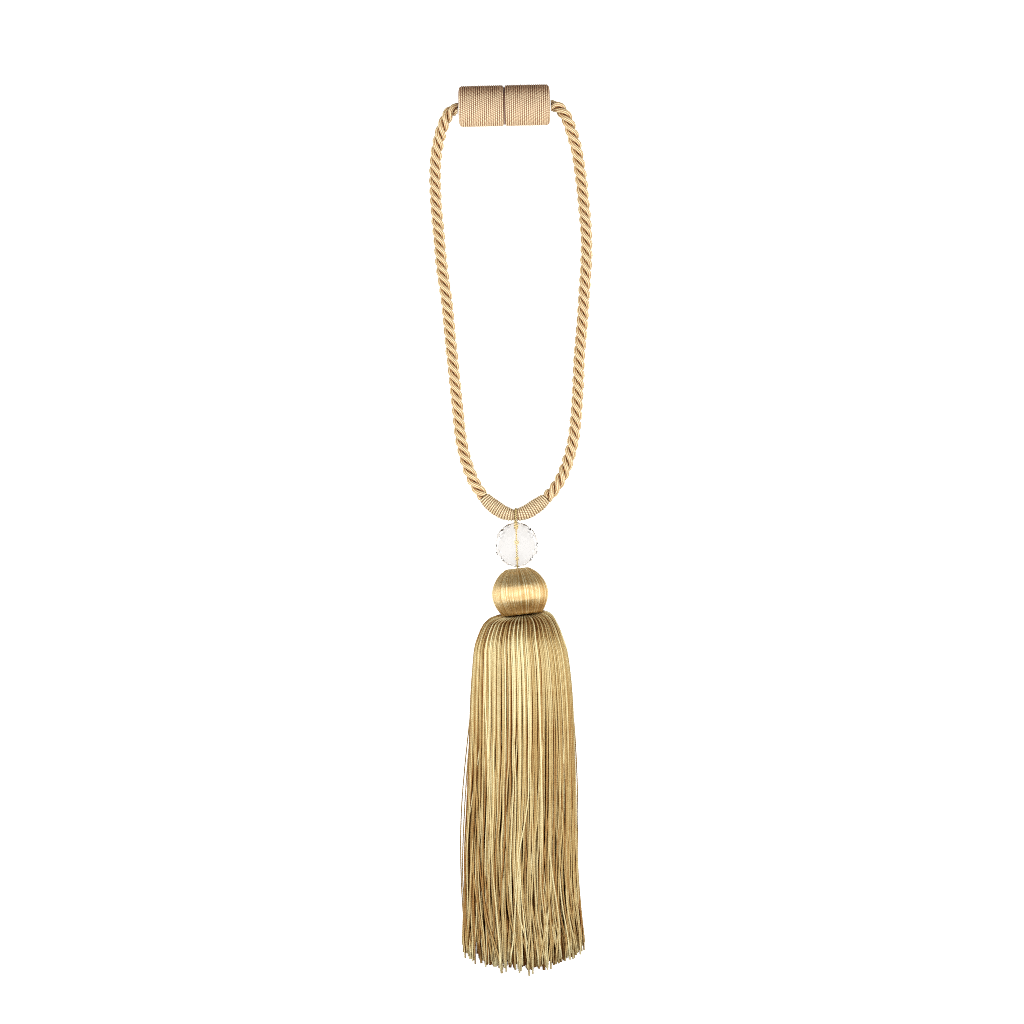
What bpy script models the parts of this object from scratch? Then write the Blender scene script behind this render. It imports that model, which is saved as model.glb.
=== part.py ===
"""A curtain tieback with a tassel, lying flat on a surface.

A loop of twisted rope ends in the two halves of a magnet clasp. A thread binding covers the loop's
middle, and a thin cord hangs a clear faceted bead, a thread-wound ball and a yarn skirt from it.
+Z is up, +Y runs from the skirt's tips to the clasp, and the origin is on the surface, under the
middle of the object. Lengths below are in millimetres, and angles in degrees.
"""

import math
import random

import bmesh
import bpy
from mathutils import Vector

MM = 0.001
UP = Vector((0.0, 0.0, 1.0))
GAP = 0.4  # between two pieces that touch
CURVE_STEPS = 24  # straight pieces between two points of a route

# Clasp: two barrels end to end, wound with yarn, with a thin seam between their magnet faces.
CLASP_MIDDLE = Vector((-9.6, 228.3, 10.9))
CLASP_TILT = 1.3  # the right half sits this much higher up the picture
CLASP_RADIUS = 11.25
CLASP_HALF_LENGTH = 24.4
CLASP_SEAM = 0.7
CLASP_RIBS = 20
CLASP_RIB_DEPTH = 0.25
CLASP_SIDES = 16
CLASP_CORNER = 2.0  # how far along the barrel its rounded ends reach
CLASP_CORNER_DEPTH = 3.2  # how far in from the side they reach
CLASP_SEAM_CORNER = 1.3
CLASP_SEAM_CORNER_DEPTH = 1.6

# Rope: three strands laid left-handed.
ROPE_RADIUS = 3.4
ROPE_LAY = 16.4
ROPE_STEPS_PER_LAY = 9
# (angle from the strand's crown, share of the rope's radius), for one of the three strands
STRAND_SECTION = ((-22.0, 1.0), (22.0, 1.0), (60.0, 0.62))

# The loop's route, from the left clasp half round to the right one: (x, y, height of its middle).
LOOP_ROUTE = (
    (-34.75, 226.4, 10.9),
    (-36.7, 226.35, 10.9),
    (-39.1, 224.7, 10.6),
    (-41.1, 221.5, 10.1),
    (-42.8, 217.5, 9.3),
    (-44.3, 212.8, 8.1),
    (-46.2, 204.3, 6.2),
    (-47.0, 196.1, 4.7),
    (-47.1, 187.0, 3.7),
    (-46.6, 174.0, 3.4),
    (-45.2, 159.0, 3.4),
    (-43.4, 140.0, 3.4),
    (-40.8, 122.0, 3.4),
    (-38.9, 102.0, 3.4),
    (-36.8, 82.0, 3.4),
    (-34.9, 64.0, 3.4),
    (-33.3, 49.0, 4.0),
    (-31.4, 39.5, 4.9),
    (-28.9, 31.3, 6.1),
    (-25.6, 23.6, 7.3),
    (-20.7, 16.4, 8.4),
    (-15.4, 11.3, 9.3),
    (-9.3, 7.6, 10.2),
    (-3.4, 6.5, 10.6),
    (2.4, 8.1, 10.3),
    (8.0, 11.5, 9.4),
    (13.0, 15.5, 8.4),
    (17.6, 20.6, 7.4),
    (22.0, 28.0, 6.3),
    (25.3, 37.0, 4.9),
    (27.8, 47.0, 3.9),
    (29.4, 60.0, 3.4),
    (30.5, 77.0, 3.4),
    (31.2, 93.0, 3.4),
    (32.7, 110.0, 3.4),
    (33.9, 128.0, 3.4),
    (35.0, 146.0, 3.4),
    (34.9, 160.0, 3.4),
    (33.7, 174.0, 3.4),
    (32.4, 187.0, 3.7),
    (31.1, 196.5, 4.6),
    (29.4, 206.0, 6.1),
    (26.5, 215.9, 8.1),
    (24.3, 221.7, 9.4),
    (21.6, 225.6, 10.2),
    (18.9, 227.9, 10.7),
    (17.6, 228.25, 10.9),
    (15.6, 228.2, 10.9),
)

# Binding: thread wound over the rope's middle, fuller in its two arms and pinched where it hangs.
BINDING_START = 219.5  # along the loop
BINDING_LENGTH = 39.2
# (share of the binding's length, radius)
BINDING_RADII = (
    (0.0, 3.3),
    (0.08, 3.8),
    (0.25, 4.15),
    (0.42, 3.7),
    (0.5, 3.2),
    (0.58, 3.7),
    (0.75, 4.2),
    (0.92, 3.9),
    (1.0, 3.3),
)
BINDING_RIBS = 31
BINDING_RIB_DEPTH = 0.22
BINDING_SIDES = 10
NOTCH_RADIUS = 2.3  # where the hanger cord's loop sinks into the binding
NOTCH_HALF_WIDTH = 1.2

# Hanger cord: a loop round the binding, and a stem through the bead into the ball.
CORD_RADIUS = 0.6
CORD_SIDES = 6
LOOP_STEPS = 16
STEM_SPACING = 3.0
LOOP_CENTRE = Vector((-3.4, 6.5, 10.6))
LOOP_RADIUS = 3.3
STEM_ROUTE = (
    (-3.4, 3.4, 10.6),
    (-3.2, 1.0, 10.8),
    (-2.9, -9.4, 11.9),
    (-2.5, -20.5, 13.1),
    (-2.5, -24.8, 13.9),
)

# Bead: clear, faceted, drilled along its axis.
BEAD_TOP = Vector((-3.25, 2.5, 10.65))
BEAD_BOTTOM = Vector((-2.55, -21.6, 13.15))
BEAD_RADIUS = 12.1
BEAD_SIDES = 10
BEAD_HOLE_RADIUS = 1.3
BEAD_ROWS = (24.0, 46.0, 68.0, 90.0, 112.0, 134.0, 156.0)  # facet corners, from the top end round

# Ball: the turned profile, as (distance below its top end, radius), from the drilled hole outwards.
BALL_TOP = Vector((-2.6, -22.3, 14.6))
BALL_BOTTOM = Vector((0.3, -47.4, 15.2))
BALL_SIDES = 32
BALL_PROFILE = (
    (4.4, 1.9),
    (1.4, 2.1),
    (0.5, 3.6),
    (0.1, 5.4),
    (0.6, 7.0),
    (3.1, 10.4),
    (6.3, 12.9),
    (9.6, 14.5),
    (13.2, 15.2),
    (16.8, 14.9),
    (20.4, 13.6),
    (23.3, 12.0),
    (25.0, 10.6),
    (25.2, 9.2),
)

# Skirt: sections by their drop below the neck. left and right are half widths, top and lift are the
# heights of the section's top and bottom, and flat is the share of a half width that lies level.
SKIRT_MIDDLE_X = -0.5
NECK_Y = -46.6
SKIRT_SECTIONS = (
    # drop, left, right, top, lift, flat
    (0.0, 12.9, 12.9, 22.0, 2.2, 0.05),
    (1.3, 16.4, 16.2, 23.3, 0.9, 0.2),
    (3.5, 18.9, 18.5, 25.0, 0.2, 0.38),
    (6.0, 20.6, 20.1, 26.7, 0.0, 0.5),
    (13.0, 23.8, 22.9, 29.2, 0.0, 0.6),
    (19.5, 25.5, 24.9, 30.0, 0.0, 0.62),
    (26.0, 26.1, 26.0, 30.0, 0.0, 0.62),
    (39.0, 27.1, 27.5, 29.6, 0.0, 0.62),
    (71.5, 28.4, 29.2, 28.4, 0.0, 0.62),
    (104.0, 29.8, 30.2, 27.3, 0.0, 0.62),
    (136.5, 31.2, 30.5, 26.0, 0.0, 0.62),
    (162.5, 30.9, 32.0, 24.6, 0.0, 0.62),
    (175.5, 30.3, 34.4, 23.8, 0.0, 0.62),
    (195.0, 29.8, 34.9, 22.6, 0.0, 0.62),
)
WIDEST_AT = 0.42  # the share of a section's height at which it is widest
NECK_LEAN = 2.8  # the neck's top lies this much lower than its sides, behind the ball's rim
NECK_TILT = 0.1  # and its right side higher than its left one, by this share of the way across
NECK_FADE_DROP = 6.0  # both fade out by this drop
OUTLINE_STEPS = 10  # straight pieces in each curved quarter of a section's outline
SEAT_SHARE = 0.86  # the dish under the ball, as a share of the neck's width
SEAT_DROP = 26.1  # below the ball's top end
# The head's sections: (drop, how far it is drawn in)
HEAD_SECTIONS = (
    (0.0, 0.0),
    (1.3, 0.0),
    (3.5, 0.0),
    (6.0, 0.0),
    (10.0, 0.0),
    (15.0, 0.0),
    (21.0, 0.0),
    (27.0, 0.0),
    (30.0, 0.5),
    (31.5, 1.4),
)
HEAD_RIB_DEPTH = 0.55

# Locks of yarn: rings of them, from the outer one in. Only the outer ring bends in many places.
LOCK_RINGS = (
    # inset from the outline, number of locks, width, thickness, sides
    (0.0, 46, 2.3, 2.0, 4),
    (3.3, 32, 2.7, 2.3, 3),
    (6.6, 22, 2.9, 2.5, 3),
    (9.9, 12, 2.9, 2.5, 3),
)
OUTER_LOCK_DROPS = (24.0, 29.5, 50.0, 85.0, 125.0, 162.0)
INNER_LOCK_DROPS = (26.0, 90.0, 150.0)
ROOT_INSET = 1.2  # the outer locks' roots start this far inside the head
TIP_DROP = 191.5
TIP_TAPER = 0.6
LOCK_BACK_WIDTH = 0.6  # a four-sided lock's inner side, as a share of its outer one
HEM_RISE = 8.0  # the hem is an arc, this much higher at the sides
HEM_HALF_WIDTH = 30.0
HEM_UNEVEN = 1.6
FLOOR_SHORTER = 4.0  # the lowest locks end this much sooner
INNER_SHORTER = 3.0
LOCK_SHIFT = 0.06  # the locks wander sideways by this share of their pitch
SEED = 7

# name: (red, green, blue, roughness, transmission)
MATERIALS = {
    "clasp_yarn": (0.55, 0.36, 0.22, 0.7, 0.0),
    "rope_yarn": (0.68, 0.46, 0.22, 0.45, 0.0),
    "binding_thread": (0.66, 0.49, 0.27, 0.6, 0.0),
    "hanger_cord": (0.62, 0.47, 0.2, 0.5, 0.0),
    "bead_glass": (0.95, 0.95, 0.94, 0.03, 1.0),
    "ball_thread": (0.62, 0.44, 0.16, 0.35, 0.0),
    "skirt_yarn": (0.6, 0.42, 0.17, 0.45, 0.0),
}


def between(rows, key):
    """The columns after the first of a table, at a value of its first, on straight lines."""
    for low, high in zip(rows, rows[1:]):
        if key <= high[0]:
            break
    share = min(1.0, max(0.0, (key - low[0]) / (high[0] - low[0])))
    return [a + (b - a) * share for a, b in zip(low[1:], high[1:])]


def material(name):
    made = bpy.data.materials.get(name) or bpy.data.materials.new(name)
    made.use_nodes = True
    red, green, blue, roughness, transmission = MATERIALS[name]
    shader = made.node_tree.nodes["Principled BSDF"]
    shader.inputs["Base Color"].default_value = (red, green, blue, 1.0)
    shader.inputs["Roughness"].default_value = roughness
    shader.inputs["Metallic"].default_value = 0.0
    shader.inputs["Transmission Weight"].default_value = transmission
    return made


def new_object(name, bm, finish):
    """A named object from a bmesh in millimetres, its faces turned outwards."""
    bmesh.ops.recalc_face_normals(bm, faces=bm.faces)
    bmesh.ops.scale(bm, vec=(MM, MM, MM), verts=bm.verts)
    mesh = bpy.data.meshes.new(name)
    bm.to_mesh(mesh)
    bm.free()
    mesh.shade_smooth()
    mesh.set_sharp_from_angle(angle=math.radians(40.0))
    mesh.materials.append(material(finish))
    made = bpy.data.objects.new(name, mesh)
    bpy.context.scene.collection.objects.link(made)
    return made


def on_surface(point):
    """The point, raised to the surface where it would sink below it."""
    return Vector((point.x, point.y, max(point.z, 0.0)))


def loft(bm, rings, closed=False):
    """Skins rings of points. Fans cap the two ends, unless closed joins them to each other."""
    loops = [[bm.verts.new(point) for point in ring] for ring in rings]
    count = len(loops[0])
    pairs = list(zip(loops, loops[1:]))
    if closed:
        pairs.append((loops[-1], loops[0]))
    for low, high in pairs:
        for i in range(count):
            j = (i + 1) % count
            bm.faces.new((low[i], low[j], high[j], high[i]))
    if not closed:
        for loop in (loops[0], loops[-1]):
            middle = bm.verts.new(sum((v.co for v in loop), Vector()) / count)
            for i in range(count):
                bm.faces.new((loop[i], loop[(i + 1) % count], middle))


def smooth_curve(points):
    """The smooth curve through a route's points: close places on it, and the way travelled to each."""
    knots = [Vector(p) for p in points]
    knots = [2 * knots[0] - knots[1], *knots, 2 * knots[-1] - knots[-2]]
    fine = []
    for a, b, c, d in zip(knots, knots[1:], knots[2:], knots[3:]):
        for step in range(CURVE_STEPS):
            t = step / CURVE_STEPS
            line = 2 * b + (c - a) * t
            bend = (2 * a - 5 * b + 4 * c - d) * t**2 + (3 * b - a - 3 * c + d) * t**3
            fine.append((line + bend) / 2)
    fine.append(knots[-2])
    travelled = [0.0]
    for a, b in zip(fine, fine[1:]):
        travelled.append(travelled[-1] + (b - a).length)
    return fine, travelled


def stretch(curve, start, end, spacing):
    """Places at an even spacing along a smooth curve, from one distance along it to another."""
    fine, travelled = curve
    steps = max(2, round((end - start) / spacing))
    places, at = [], 0
    for step in range(steps + 1):
        want = start + (end - start) * step / steps
        while at < len(fine) - 2 and travelled[at + 1] < want:
            at += 1
        share = (want - travelled[at]) / (travelled[at + 1] - travelled[at])
        places.append(fine[at].lerp(fine[at + 1], share))
    return places


def cross_axes(places, at):
    """The sideways and upward directions across a route at one of its places."""
    ahead = (places[min(at + 1, len(places) - 1)] - places[max(at - 1, 0)]).normalized()
    side = ahead.cross(UP).normalized()
    return side, side.cross(ahead)


def ring_round(centre, side, up, radius, sides, turn=0.0):
    angles = [turn + 2 * math.pi * i / sides for i in range(sides)]
    return [centre + radius * (side * math.cos(a) + up * math.sin(a)) for a in angles]


def rope(name, start, end):
    """A run of rope along the loop: the three-lobed section, turned steadily on the way."""
    places = stretch(smooth_curve(LOOP_ROUTE), start, end, ROPE_LAY / ROPE_STEPS_PER_LAY)
    rings = []
    for at, place in enumerate(places):
        side, up = cross_axes(places, at)
        turn = 2 * math.pi * (end - start) * at / (len(places) - 1) / ROPE_LAY
        ring = []
        for strand in range(3):
            for offset, share in STRAND_SECTION:
                angle = turn + math.radians(120.0 * strand + offset)
                arm = side * math.cos(angle) + up * math.sin(angle)
                ring.append(on_surface(place + arm * ROPE_RADIUS * share))
        rings.append(ring)
    bm = bmesh.new()
    loft(bm, rings)
    bmesh.ops.triangulate(bm, faces=bm.faces, quad_method="SHORT_EDGE")
    return new_object(name, bm, "rope_yarn")


def barrel_end_depth(from_end, reach, depth):
    """How far a rounded barrel end is drawn in, at a distance from the end."""
    if from_end >= reach:
        return 0.0
    return depth * (1.0 - math.sqrt(1.0 - (1.0 - from_end / reach) ** 2))


def clasp_half(name, outwards):
    """One barrel of the clasp. outwards is -1 for the left half and 1 for the right."""
    tilt = math.radians(CLASP_TILT)
    axis = outwards * Vector((math.cos(tilt), math.sin(tilt), 0.0))
    start = CLASP_MIDDLE + axis * CLASP_SEAM / 2
    side = axis.cross(UP)
    stations = [0.0]
    for rib in range(CLASP_RIBS):
        stations.extend(((rib + 0.5) / CLASP_RIBS, (rib + 1.0) / CLASP_RIBS))
    rings = []
    for at, share in enumerate(stations):
        along = share * CLASP_HALF_LENGTH
        radius = CLASP_RADIUS
        radius -= barrel_end_depth(along, CLASP_SEAM_CORNER, CLASP_SEAM_CORNER_DEPTH)
        radius -= barrel_end_depth(CLASP_HALF_LENGTH - along, CLASP_CORNER, CLASP_CORNER_DEPTH)
        if at % 2 == 0:
            radius -= CLASP_RIB_DEPTH
        turn = math.pi / CLASP_SIDES
        ring = ring_round(start + axis * along, side, UP, radius, CLASP_SIDES, turn)
        rings.append([on_surface(point) for point in ring])
    bm = bmesh.new()
    loft(bm, rings)
    return new_object(name, bm, "clasp_yarn")


def binding():
    """Thread ribs along the V, with a notch under the hanger cord's loop."""
    end = BINDING_START + BINDING_LENGTH
    spacing = BINDING_LENGTH / (2 * BINDING_RIBS)
    places = stretch(smooth_curve(LOOP_ROUTE), BINDING_START, end, spacing)
    rings = []
    for at, place in enumerate(places):
        side, up = cross_axes(places, at)
        (radius,) = between(BINDING_RADII, at / (len(places) - 1))
        if at % 2 == 0:
            radius -= BINDING_RIB_DEPTH
        if abs(place.x - LOOP_CENTRE.x) < NOTCH_HALF_WIDTH:
            radius = NOTCH_RADIUS
        rings.append(ring_round(place, side, up, radius, BINDING_SIDES))
    bm = bmesh.new()
    loft(bm, rings)
    return new_object("binding", bm, "binding_thread")


def joined(base, extra):
    """The union of two objects, kept as a modifier on the first."""
    union = base.modifiers.new("union", "BOOLEAN")
    union.operation = "UNION"
    union.solver = "EXACT"
    union.object = extra
    extra.hide_render = True
    extra.display_type = "WIRE"
    return base


def hanger_cord():
    """The loop round the binding, and the stem that goes down through the bead."""
    loop_bm = bmesh.new()
    across = Vector((1.0, 0.0, 0.0))
    rings = []
    for step in range(LOOP_STEPS):
        angle = 2 * math.pi * step / LOOP_STEPS
        arm = Vector((0.0, math.cos(angle), math.sin(angle)))
        rings.append(ring_round(LOOP_CENTRE + arm * LOOP_RADIUS, across, arm, CORD_RADIUS, CORD_SIDES))
    loft(loop_bm, rings, closed=True)
    loop = new_object("hanger_loop", loop_bm, "hanger_cord")

    curve = smooth_curve(STEM_ROUTE)
    places = stretch(curve, 0.0, curve[1][-1], STEM_SPACING)
    rings = []
    for at, place in enumerate(places):
        side, up = cross_axes(places, at)
        rings.append(ring_round(place, side, up, CORD_RADIUS, CORD_SIDES))
    stem_bm = bmesh.new()
    loft(stem_bm, rings)
    stem = new_object("hanger_cord", stem_bm, "hanger_cord")
    return joined(stem, loop)


def bead():
    """Rows of staggered facets round a drilled hole, standing on a facet."""
    axis = (BEAD_BOTTOM - BEAD_TOP).normalized()
    centre = (BEAD_TOP + BEAD_BOTTOM) / 2
    half = (BEAD_BOTTOM - BEAD_TOP).length / 2
    side = axis.cross(UP).normalized()
    up = side.cross(axis)
    half_step = math.pi / BEAD_SIDES
    rings = [ring_round(centre - axis * half, side, up, BEAD_HOLE_RADIUS, BEAD_SIDES)]
    for row, from_top in enumerate(BEAD_ROWS):
        angle = math.radians(from_top)
        middle = centre - axis * half * math.cos(angle)
        turn = half_step * (row % 2)
        ring = ring_round(middle, side, up, BEAD_RADIUS * math.sin(angle), BEAD_SIDES, turn)
        rings.append([on_surface(point) for point in ring])
    rings.append(ring_round(centre + axis * half, side, up, BEAD_HOLE_RADIUS, BEAD_SIDES))
    bm = bmesh.new()
    loft(bm, rings, closed=True)
    bmesh.ops.triangulate(bm, faces=bm.faces)
    made = new_object("bead", bm, "bead_glass")
    made.data.shade_flat()
    return made


def ball():
    """The turned ball, with its drilled hole open at the top."""
    axis = (BALL_BOTTOM - BALL_TOP).normalized()
    side = axis.cross(UP).normalized()
    up = side.cross(axis)
    rings = []
    for below, radius in BALL_PROFILE:
        turn = math.pi / BALL_SIDES
        ring = ring_round(BALL_TOP + axis * below, side, up, radius, BALL_SIDES, turn)
        rings.append([on_surface(point) for point in ring])
    bm = bmesh.new()
    loft(bm, rings)
    return new_object("ball", bm, "ball_thread")


def section_outline(drop, inset):
    """The skirt's section as a run of (x, z) points, from the middle of its level underside."""
    left, right, top, lift, flat = between(SKIRT_SECTIONS, drop)
    middle = lift + WIDEST_AT * (top - lift)
    bottom, top = lift + inset, top - inset
    points = []

    def quarter(half, low, high, first, last):
        """Points on a quarter of an ellipse from its first angle to its last."""
        for step in range(OUTLINE_STEPS):
            angle = first + (last - first) * step / OUTLINE_STEPS
            points.append((half(math.cos(angle)), low + (high - low) * math.sin(angle)))

    def corner(width, sign):
        """The way from the level underside out to the widest place."""
        level = flat * width
        return lambda share: sign * (level + (width - inset - level) * share)

    points.append((0.0, bottom))
    quarter(corner(right, 1.0), middle, bottom, math.pi / 2, 0.0)
    quarter(lambda share: (right - inset) * share, middle, top, 0.0, math.pi / 2)
    quarter(lambda share: -(left - inset) * share, middle, top, math.pi / 2, 0.0)
    quarter(corner(left, -1.0), middle, bottom, 0.0, math.pi / 2)
    points.append((-flat * left, bottom))
    return points


def neck_height_share(drop, height):
    """0 up to a section's widest place, and rising to 1 at its top."""
    _, _, top, lift, _ = between(SKIRT_SECTIONS, drop)
    middle = lift + WIDEST_AT * (top - lift)
    return max(0.0, (height - middle) / (top - middle))


def round_section(drop, inset, share):
    """The place at a share of the way round a section's outline, and the outward direction there."""
    outline = section_outline(drop, inset)
    outline.append(outline[0])
    lengths = [math.dist(a, b) for a, b in zip(outline, outline[1:])]
    want = (share % 1.0) * sum(lengths)
    for (a, b), length in zip(zip(outline, outline[1:]), lengths):
        if want <= length:
            break
        want -= length
    along = ((b[0] - a[0]) / length, (b[1] - a[1]) / length)
    across, height = a[0] + along[0] * want, a[1] + along[1] * want
    lean = NECK_LEAN * neck_height_share(drop, height) - NECK_TILT * across
    lean *= max(0.0, 1.0 - drop / NECK_FADE_DROP)
    place = Vector((SKIRT_MIDDLE_X + across, NECK_Y - drop - lean, height))
    return place, Vector((along[1], 0.0, -along[0]))


def skirt_head():
    """The domed head: a dish for the ball, ribs over the dome, and a level underside."""
    axis = (BALL_BOTTOM - BALL_TOP).normalized()
    count = 2 * LOCK_RINGS[0][1]
    seat_centre = BALL_TOP + axis * SEAT_DROP
    seat = []
    for i in range(count):
        place, _ = round_section(*HEAD_SECTIONS[0], i / count)
        arm = Vector((place.x - seat_centre.x, 0.0, place.z - seat_centre.z))
        seat.append(seat_centre + (arm - axis * arm.dot(axis)) * SEAT_SHARE)
    rings = [seat]
    for drop, drawn_in in HEAD_SECTIONS:
        ring = []
        for i in range(count):
            place, outward = round_section(drop, drawn_in, i / count)
            sunk = 0.0 if i % 2 else HEAD_RIB_DEPTH * min(1.0, 1.0 + outward.z)
            ring.append(on_surface(place - outward * sunk))
        rings.append(ring)
    bm = bmesh.new()
    loft(bm, rings)
    return new_object("skirt", bm, "skirt_yarn")


def lock(bm, ring_row, share, tip_drop):
    """One lock of yarn, flat side outwards, from its root in the head to its tip."""
    inset, count, width, thickness, sides = ring_row
    outer = sides == 4
    drops = (*(OUTER_LOCK_DROPS if outer else INNER_LOCK_DROPS), tip_drop)
    rings = []
    for drop in drops:
        sunk = ROOT_INSET if outer and drop == drops[0] else 0.0
        taper = TIP_TAPER if drop == tip_drop else 1.0
        place, outward = round_section(drop, inset + sunk, share)
        across = Vector((-outward.z, 0.0, outward.x)) * width * taper / 2
        inwards = -outward * thickness * taper
        if outer:
            back = across * LOCK_BACK_WIDTH
            corners = (-across, across, inwards + back, inwards - back)
        else:
            corners = (-across, across, inwards)
        rings.append([on_surface(place + corner) for corner in corners])
    loft(bm, rings)


def tip_of(ring_row, share, chance):
    """How far below the neck a lock ends: an uneven arc, shorter underneath and inside."""
    inset = ring_row[0]
    place, outward = round_section(TIP_DROP - HEM_RISE, inset, share)
    rise = HEM_RISE * (place.x / HEM_HALF_WIDTH) ** 2
    short = FLOOR_SHORTER * max(0.0, -outward.z) if inset == 0.0 else INNER_SHORTER
    return TIP_DROP - rise - short + chance.uniform(-HEM_UNEVEN, HEM_UNEVEN)


def skirt():
    """The head with every lock's root fused into it."""
    chance = random.Random(SEED)
    bm = bmesh.new()
    for ring_row in LOCK_RINGS:
        count = ring_row[1]
        for i in range(count):
            share = (i + 0.5 + chance.uniform(-LOCK_SHIFT, LOCK_SHIFT)) / count
            lock(bm, ring_row, share, tip_of(ring_row, share, chance))
    locks = new_object("skirt_locks", bm, "skirt_yarn")
    return joined(skirt_head(), locks)


def clear_scene():
    for old in list(bpy.data.objects):
        bpy.data.objects.remove(old, do_unlink=True)


def main():
    clear_scene()
    clasp_half("clasp_left", -1.0)
    clasp_half("clasp_right", 1.0)
    loop_length = smooth_curve(LOOP_ROUTE)[1][-1]
    rope("rope_left", 0.0, BINDING_START - GAP)
    rope("rope_right", BINDING_START + BINDING_LENGTH + GAP, loop_length)
    binding()
    hanger_cord()
    bead()
    ball()
    skirt()


main()
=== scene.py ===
"""The looks of a curtain tieback with a tassel, lying flat on a pale surface under soft light.

Every piece stands for a node of the model and lies where that node is. The routes, profiles and
sections below are the model's own, except that the skirt's last three sections are narrower, since
single yarns splay out past them. Lengths are in millimetres and angles in degrees: +Z is up, and +Y
runs from the skirt's tips to the clasp.

A point's crown says where its colour lies between a groove (0) and a crest (1): the darker colour of
the grooves is painted shade. Its tone is added to that; some tones are painted light and shade, as
noted where they are set. A pair whose name ends in CROWN gives the value in a groove, and then what
a crest adds. A pair that is handed to smooth_step is where something starts and where it is complete.
"""

import math

import bpy
import numpy as np
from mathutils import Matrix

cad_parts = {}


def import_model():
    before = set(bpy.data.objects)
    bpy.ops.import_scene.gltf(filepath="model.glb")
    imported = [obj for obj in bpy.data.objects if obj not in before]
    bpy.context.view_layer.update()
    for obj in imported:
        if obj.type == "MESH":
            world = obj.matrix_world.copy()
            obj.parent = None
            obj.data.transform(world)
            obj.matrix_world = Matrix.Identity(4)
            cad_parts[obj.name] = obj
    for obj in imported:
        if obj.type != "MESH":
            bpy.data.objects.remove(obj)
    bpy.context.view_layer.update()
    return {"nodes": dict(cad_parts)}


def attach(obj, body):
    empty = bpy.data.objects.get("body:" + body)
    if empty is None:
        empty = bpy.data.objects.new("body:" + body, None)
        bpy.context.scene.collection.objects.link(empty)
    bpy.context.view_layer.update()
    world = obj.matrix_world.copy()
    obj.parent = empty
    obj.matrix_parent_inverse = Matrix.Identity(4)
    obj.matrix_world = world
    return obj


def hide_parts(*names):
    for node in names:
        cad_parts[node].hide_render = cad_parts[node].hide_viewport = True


MM = 0.001
TURN = 2 * math.pi
UP = np.array((0.0, 0.0, 1.0))
CURVE_STEPS = 24
GAP = 0.4
SEED = 11
STREAK_HEIGHT = 0.35  # of a yarn's streaks, where its plies are 1 high

# Camera: straight above, with a long lens. The view is 554.8 mm across at the height of the yarn.
VIEW_MIDDLE = (-5.4, 8.1)
VIEW_ACROSS = 554.8
VIEW_HEIGHT = 12.0
LENS = 200.0
SENSOR = 36.0
CLIP_END = 20000.0

# Light: a soft box close above the ball, and a white card at each side, which fills the flanks.
KEY_PLACE = (0.0, -10.0, 600.0)
KEY_SIZE = (6000.0, 780.0)
KEY_POWER = 39.5
CARD_PLACE = (800.0, -20.0, 200.0)
CARD_SIZE = (400.0, 1000.0)
CARD_POWER = 2.3
# Dim light all round: brightness by the angle from overhead, towards the tips.
STUDIO_LIGHT = (
    (-90.0, 0.05), (62.0, 0.05), (70.0, 0.3),
    (78.0, 0.9), (84.0, 0.5), (90.0, 0.3),
)
STUDIO_STRENGTH = 3.0
BACKDROP = 0.33  # what the camera sees of it, straight or through the bead

# Floor
FLOOR_HALF = 3000.0
FLOOR_PAINT = 0.93
FLOOR_GLOW = 0.55
FLOOR_BOUNCE = (0.54, 0.46, 0.36, 1.0)  # its colour as it sends light back up to the object

# Clasp
CLASP_MIDDLE = np.array((-9.6, 228.3, 10.9))
CLASP_TILT = 1.3
CLASP_RADIUS = 11.25
CLASP_HALF_LENGTH = 24.4
CLASP_SEAM = 0.7
CLASP_RIBS = 21
CLASP_RIB_DEPTH = 0.4
CLASP_RIB_STEPS = 8
CLASP_SIDES = 264
CLASP_PLIES = 66
CLASP_PLY_HEIGHT = 0.2
CLASP_PLY_SLANT = 0.5  # how many plies a rib's width is crossed by
CLASP_SHADE = 0.3  # painted shade: the yarn is browner on the side away from the tassel, where less light falls
CLASP_SHADED = (0.35, 1.0)
CLASP_CORNER = (2.0, 3.2)  # the outer end's rounding: (along the barrel, in from its side)
CLASP_SEAM_CORNER = (1.2, 1.3)
CLASP_MAGNET_RADIUS = 10.3
CLASP_MAGNET_REACH = 0.32  # how far each magnet stands out of its half, almost to the other
CLASP_SEAM_ROWS = 4  # the rows of points in the seam, painted dark as the seam's shade
CLASP_SEAM_CROWN = 0.1
WOUND_CROWN = (0.06, 0.4, 0.54)  # in a groove, and what a rib and a ply add; the grooves' dark is painted shade

# Rope
ROPE_RADIUS = 3.4
ROPE_LAY = 16.4
STRAND_RADIUS = 1.7
STRAND_YARNS = 8
STRAND_YARN_DEPTH = 0.42
STRAND_SIDES = 40
STRAND_TWIST = 19.5  # along the rope, for one turn of the yarns the other way
STRAND_SPACING = 0.62
STRAND_CROWN = (0.2, 0.75)
STRAND_LIT = (0.34, 0.76)  # painted shade in the grooves between the strands: from dark to light, in shares of the rope's radius

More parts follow.
